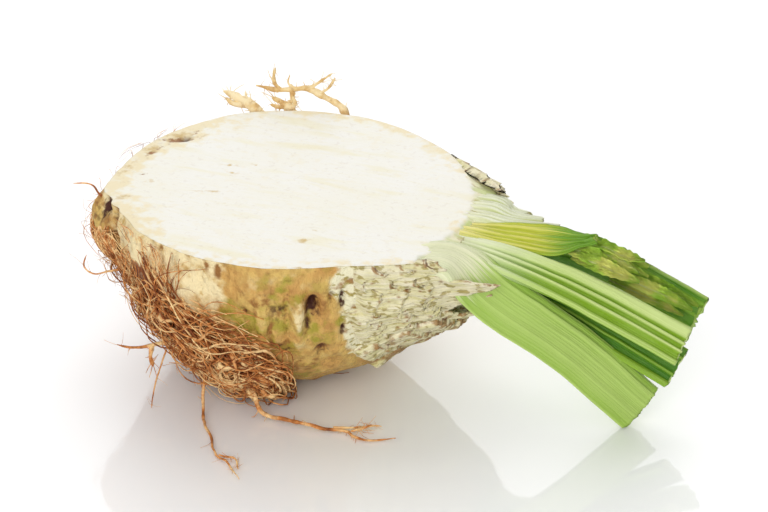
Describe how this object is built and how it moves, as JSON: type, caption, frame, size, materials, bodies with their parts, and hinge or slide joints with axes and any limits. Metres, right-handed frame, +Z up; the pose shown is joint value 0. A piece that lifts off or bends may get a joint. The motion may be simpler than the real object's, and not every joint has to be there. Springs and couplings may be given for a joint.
{
  "type": "celeriac root half",
  "caption": "Celeriac root cut in half lengthwise, lying cut face up, with matted rootlets at the root end and short trimmed leaf stalks at the crown.",
  "frame": {"origin": "middle of the small flat spot that the half rests on, straight below the middle of the cut face", "axes": "+X from the root pole to the crown and along the leaf stalks, +Y to the back, +Z up, square to the level cut face"},
  "size_m": [0.1992, 0.1438, 0.0736],
  "materials": {
    "root_flesh_and_rind": "matte",
    "stalk_base": "satin",
    "pale_green_stalk": "satin",
    "dark_green_stalk": "satin",
    "young_leaf": "satin",
    "rootlet": "matte",
    "pale_root": "matte"
  },
  "bodies": {
    "root": {"root_half": "root_flesh_and_rind", "back_sheath_1": "stalk_base", "back_sheath_2": "stalk_base", "back_sheath_3": "stalk_base", "stalk_base_1": "stalk_base", "stalk_base_2": "stalk_base", "stalk_base_3": "stalk_base", "stalk_base_4": "stalk_base", "stalk_base_5": "stalk_base", "stalk_base_6": "stalk_base", "stalk_base_7": "stalk_base", "stalk_base_8": "stalk_base", "front_stalk": "pale_green_stalk", "middle_stalk": "pale_green_stalk", "lower_stalk": "dark_green_stalk", "back_stalk": "dark_green_stalk", "heart_leaf": "young_leaf", "young_leaf_1": "young_leaf", "young_leaf_2": "young_leaf", "leaf_blade": "young_leaf", "rootlet_mat_front": "rootlet", "rootlet_mat_left": "rootlet", "rootlet_mat_root_pole": "rootlet", "rootlet_mat_back": "rootlet", "floor_rootlet_front": "rootlet", "floor_rootlet_right": "rootlet", "left_rootlet_forked": "rootlet", "left_rootlet_hanging": "rootlet", "left_rootlet_curl": "rootlet", "left_rootlet_tip": "rootlet", "back_root_stub": "pale_root", "back_root_branched": "pale_root", "back_root_bulb": "pale_root"}
  },
  "joints": []
}
